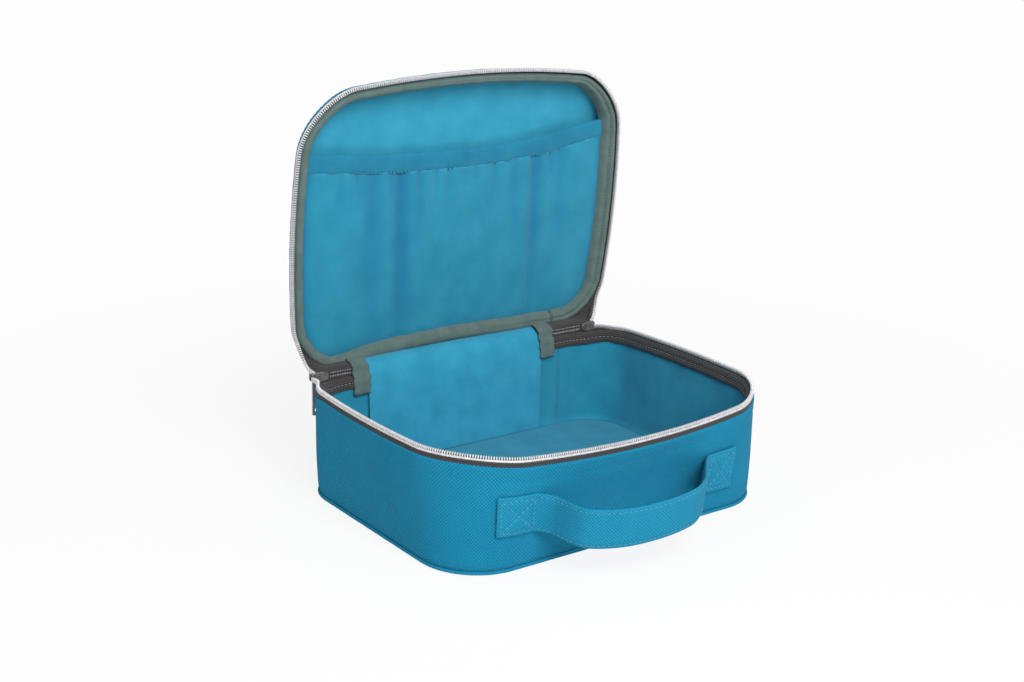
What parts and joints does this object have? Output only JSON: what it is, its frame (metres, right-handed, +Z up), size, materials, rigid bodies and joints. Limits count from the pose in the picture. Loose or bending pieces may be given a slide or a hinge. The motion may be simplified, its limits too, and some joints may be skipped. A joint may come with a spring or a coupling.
{
  "type": "toiletry bag",
  "caption": "Soft zipped toiletry bag with a lid that stands open on a fabric hinge, a grab handle on its front and a gathered pocket in its lid.",
  "frame": {"origin": "centre of the flat bottom of the bag, on the surface that it stands on", "axes": "+Z up; -Y towards the front, where the handle is; the lid's hinge runs along X at the rear"},
  "size_m": [0.274, 0.2662, 0.2766],
  "materials": {
    "woven_cloth": "coarse plain-woven polyester, matt",
    "lining": "thin smooth polyester lining with a soft sheen",
    "zip_tape": "charcoal woven zip tape, matt",
    "binding": "grey-green woven binding, matt",
    "zip_teeth": "moulded silver-grey zip teeth, satin",
    "slider_metal": "die-cast zip slider, satin",
    "pull_metal": "stamped pull tab, satin",
    "foam": "thin open-cell padding",
    "grey_board": "stiff bottom board, plain"
  },
  "bodies": {
    "base": {"bottom_panel": "woven_cloth", "bottom_piping": "woven_cloth", "bottom_board": "grey_board", "lining_floor": "lining", "front_gusset": "woven_cloth", "rear_wall": "woven_cloth", "wall_foam": "foam", "lining_wall": "lining", "lining_rear": "lining", "base_zip_tape": "zip_tape", "base_zip_teeth": "zip_teeth", "base_rim_binding": "zip_tape", "hinge_fold": "woven_cloth", "handle_patch_left": "woven_cloth", "handle_patch_right": "woven_cloth", "handle_strap": "woven_cloth", "chain_left": "zip_teeth", "chain_right": "zip_teeth", "end_tab_left": "binding", "end_tab_right": "binding"},
    "lid": {"lid_gusset": "woven_cloth", "lid_rear_panel": "woven_cloth", "lid_piping": "woven_cloth", "lid_panel": "woven_cloth", "lid_foam": "foam", "lid_lining_panel": "lining", "lid_lining_band": "lining", "lid_zip_tape": "zip_tape", "lid_zip_teeth": "zip_teeth", "lid_binding": "binding", "lid_hinge_flap": "woven_cloth", "pocket_panel": "lining", "pocket_hem": "lining"},
    "slider_left": {"slider_left": "slider_metal"},
    "slider_right": {"slider_right": "slider_metal"},
    "pull_left": {"pull_left": "pull_metal"},
    "pull_right": {"pull_right": "pull_metal"}
  },
  "joints": [
    {"name": "lid_hinge", "type": "hinge", "parent": "base", "child": "lid", "pos_m": [0, 0.095, 0.0752], "axis": [-1, 0, 0], "range_deg": [-85.3, 82]},
    {"name": "slider_left_run", "type": "slide", "parent": "base", "child": "slider_left", "axis": [1, 0, 0], "range_m": [0, 0.017]},
    {"name": "slider_right_run", "type": "slide", "parent": "base", "child": "slider_right", "axis": [-1, 0, 0], "range_m": [0, 0.017]},
    {"name": "pull_left_swing", "type": "hinge", "parent": "slider_left", "child": "pull_left", "pos_m": [-0.112, 0.09695, 0.0752], "axis": [1, 0, 0], "range_deg": [0, 85]},
    {"name": "pull_right_swing", "type": "hinge", "parent": "slider_right", "child": "pull_right", "pos_m": [0.112, 0.09695, 0.0752], "axis": [1, 0, 0], "range_deg": [0, 85]}
  ]
}
